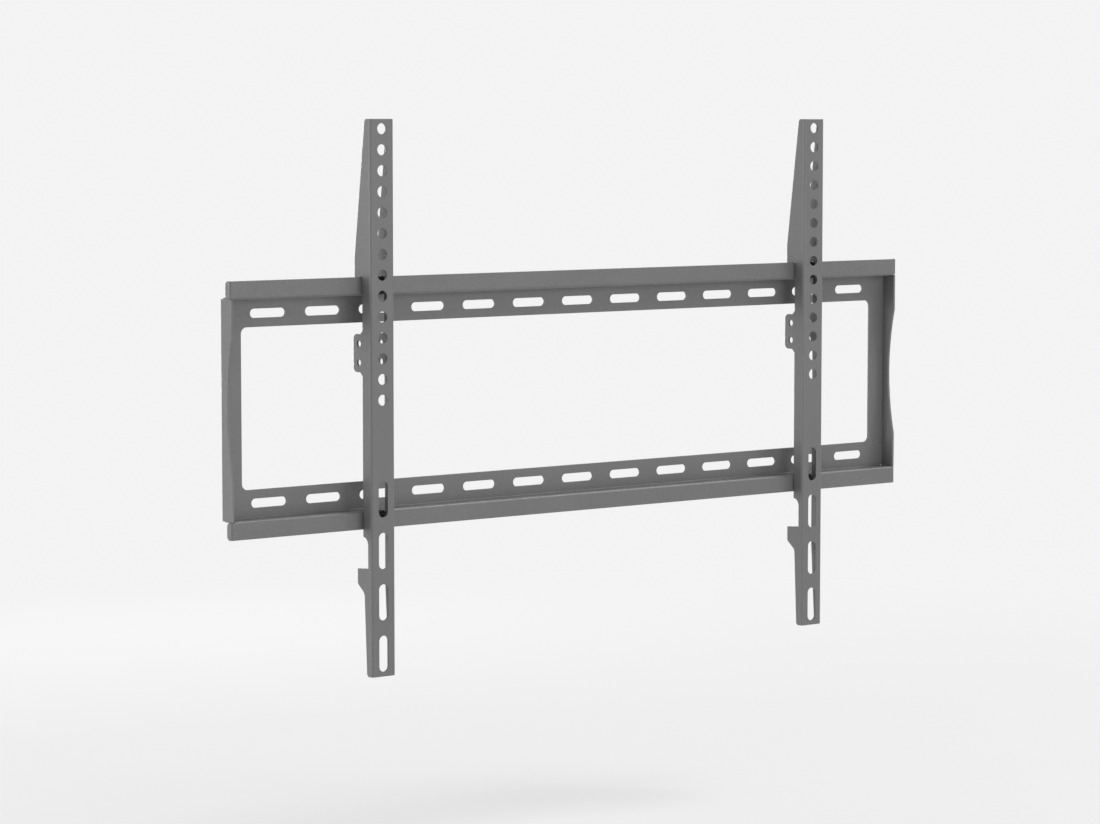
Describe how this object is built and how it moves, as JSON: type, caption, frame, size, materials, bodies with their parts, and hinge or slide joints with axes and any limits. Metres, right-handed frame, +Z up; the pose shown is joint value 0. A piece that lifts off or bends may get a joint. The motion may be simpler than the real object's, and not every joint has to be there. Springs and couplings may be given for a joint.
{
  "type": "tv wall mount",
  "caption": "Low-profile fixed wall mount for a flat screen: a folded, slotted wall plate with channel arms that hook over its top lip and slide along it.",
  "frame": {"origin": "centre of the wall plate's slot pattern, on the plane of the wall", "axes": "+X along the plate to the viewer's right, +Y into the wall, +Z up"},
  "size_m": [0.6862, 0.0272, 0.4299],
  "materials": {
    "powder_coat": "matte"
  },
  "bodies": {
    "wall_plate": {"wall_plate": "powder_coat"},
    "left_arm": {"left_arm": "powder_coat"},
    "right_arm": {"right_arm": "powder_coat"}
  },
  "joints": [
    {"name": "left_arm_slide", "type": "slide", "parent": "wall_plate", "child": "left_arm", "axis": [1, 0, 0], "range_m": [-0.1164, 0.1616]},
    {"name": "right_arm_slide", "type": "slide", "parent": "wall_plate", "child": "right_arm", "axis": [1, 0, 0], "range_m": [-0.1853, 0.0927]}
  ]
}
